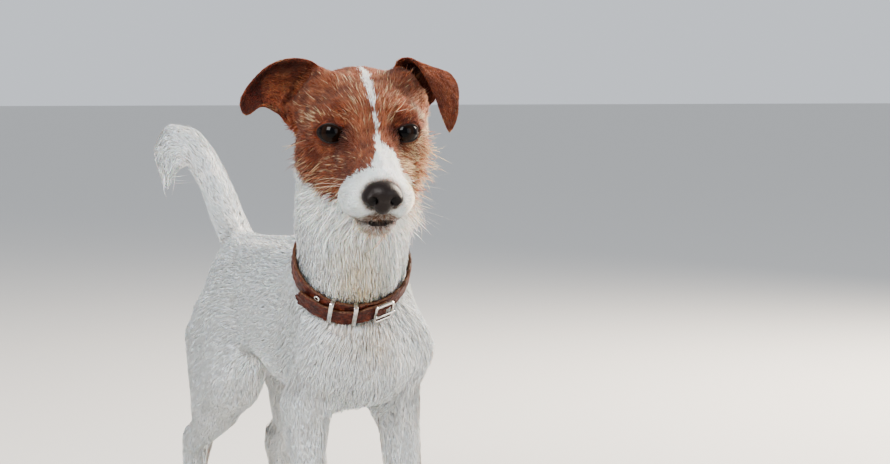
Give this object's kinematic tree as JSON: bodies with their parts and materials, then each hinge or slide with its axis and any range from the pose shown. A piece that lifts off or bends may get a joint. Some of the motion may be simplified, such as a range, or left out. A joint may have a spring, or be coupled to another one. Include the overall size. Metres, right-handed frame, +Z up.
{
  "type": "standing terrier dog with a leather collar",
  "caption": "Life-size still model of a small rough-coated white and tan terrier, standing with tail up and head turned, wearing a buckled leather collar.",
  "frame": {"origin": "on the floor, under the middle of the whole animal's bounding box", "axes": "+X to the dog's left, +Y towards its tail, so that it faces -Y, and +Z up"},
  "size_m": [0.1846, 0.4316, 0.4104],
  "materials": {
    "white_coat": "short dense white hair, soft and slightly rough",
    "tan_coat": "short tan hair with cream tips and a white blaze and muzzle",
    "eye_gloss": "wet gloss, dark brown",
    "nose_leather": "damp black skin with fine pebbles",
    "claw_horn": "satin dark horn",
    "collar_leather": "worn, cracked russet leather",
    "steel": "polished plated steel"
  },
  "bodies": {
    "root": {"head": "tan_coat", "ear_left": "tan_coat", "ear_right": "tan_coat", "eye_left": "eye_gloss", "eye_right": "eye_gloss", "nose": "nose_leather", "neck": "white_coat", "trunk": "white_coat", "tail": "white_coat", "leg_front_left": "white_coat", "leg_front_right": "white_coat", "leg_hind_left": "white_coat", "leg_hind_right": "white_coat", "paw_front_left": "white_coat", "paw_front_right": "white_coat", "paw_hind_left": "white_coat", "paw_hind_right": "white_coat", "claw_front_left_inner_left": "claw_horn", "claw_front_left_inner_right": "claw_horn", "claw_front_left_outer_left": "claw_horn", "claw_front_left_outer_right": "claw_horn", "claw_front_right_inner_left": "claw_horn", "claw_front_right_inner_right": "claw_horn", "claw_front_right_outer_left": "claw_horn", "claw_front_right_outer_right": "claw_horn", "claw_hind_left_inner_left": "claw_horn", "claw_hind_left_inner_right": "claw_horn", "claw_hind_left_outer_left": "claw_horn", "claw_hind_left_outer_right": "claw_horn", "claw_hind_right_inner_left": "claw_horn", "claw_hind_right_inner_right": "claw_horn", "claw_hind_right_outer_left": "claw_horn", "claw_hind_right_outer_right": "claw_horn", "collar_band": "collar_leather", "collar_loose_end": "collar_leather", "collar_keeper_1": "steel", "collar_keeper_2": "steel", "collar_buckle": "steel", "collar_prong": "steel", "collar_eyelet": "steel"}
  },
  "joints": []
}
